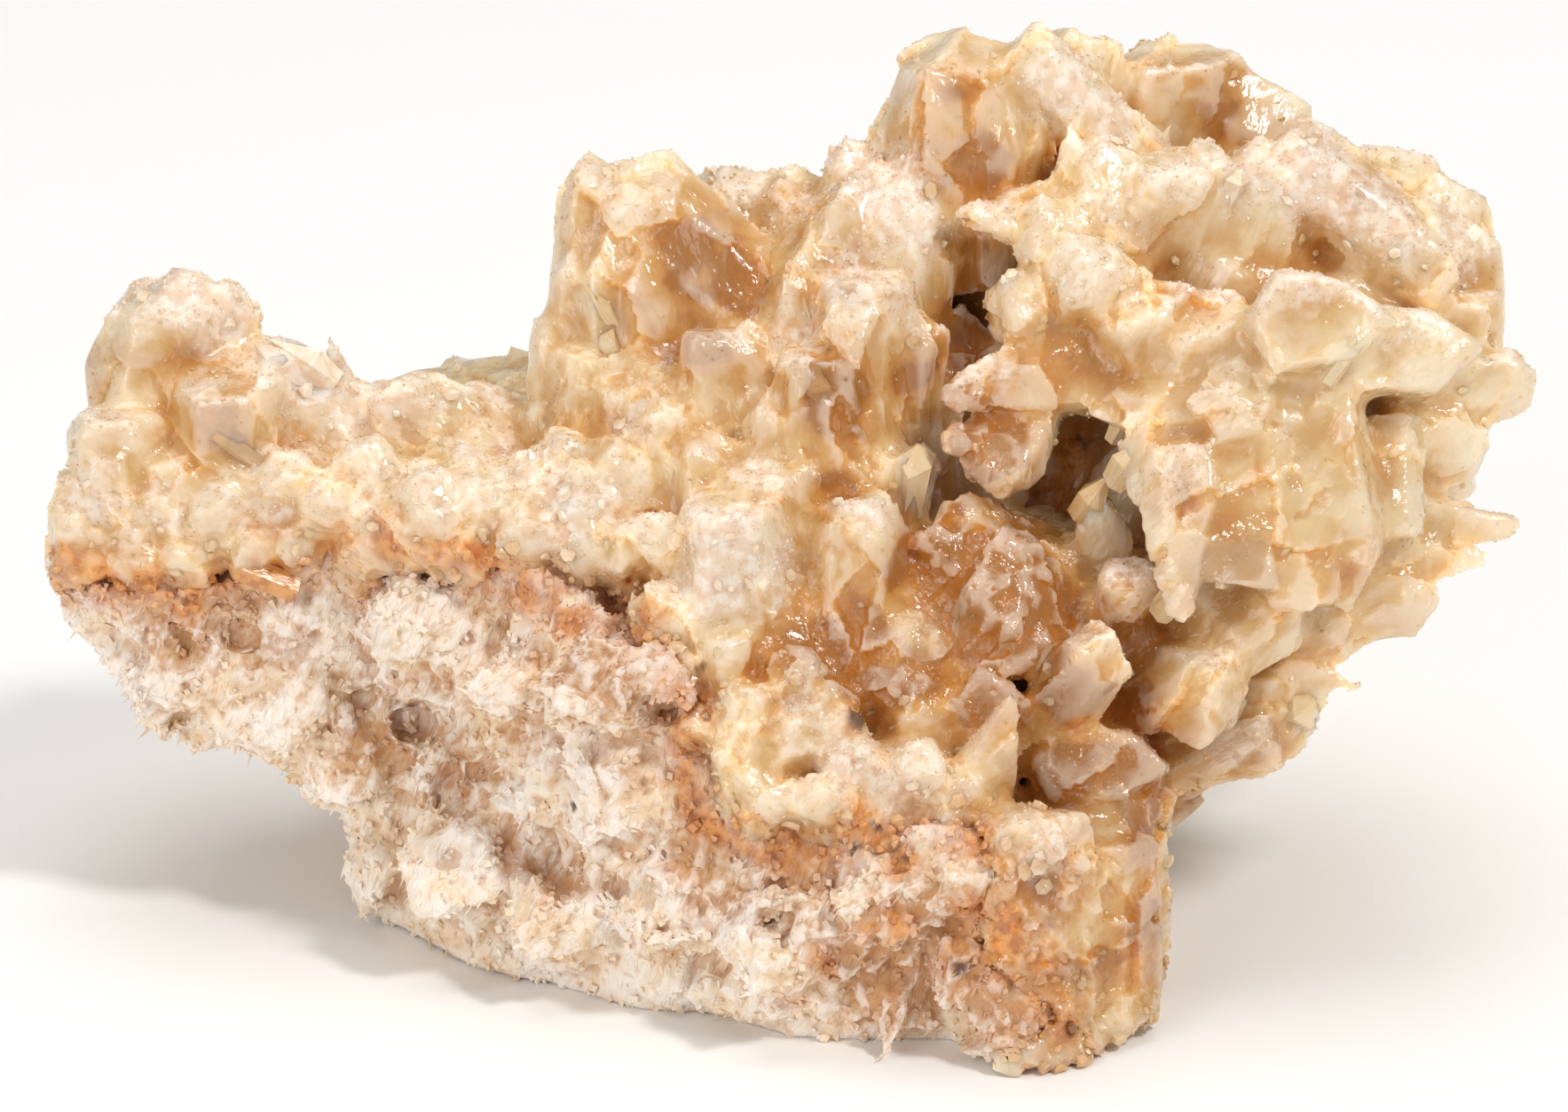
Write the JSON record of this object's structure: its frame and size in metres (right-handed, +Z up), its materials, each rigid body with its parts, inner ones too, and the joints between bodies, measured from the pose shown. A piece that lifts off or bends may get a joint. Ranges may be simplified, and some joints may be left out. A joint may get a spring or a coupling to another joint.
{
  "type": "mineral specimen",
  "caption": "Hand specimen of dogtooth calcite: honey and cream crystals in a crust on a piece of white vein calcite.",
  "frame": {"origin": "middle of the specimen's box in X and Y, at the surface it rests on", "axes": "+Z up as the specimen rests, +X to the right along its longest extent, -Y towards the viewer of the front"},
  "size_m": [0.105, 0.0578, 0.0633],
  "materials": {
    "matrix": "rough sugary white vein calcite with cream, tan and rust-orange stain",
    "crystal_cluster": "waxy translucent honey to cream crystal faces with pinkish white sugary frosting"
  },
  "bodies": {
    "root": {"matrix": "matrix", "crystal_cluster": "crystal_cluster"}
  },
  "joints": []
}
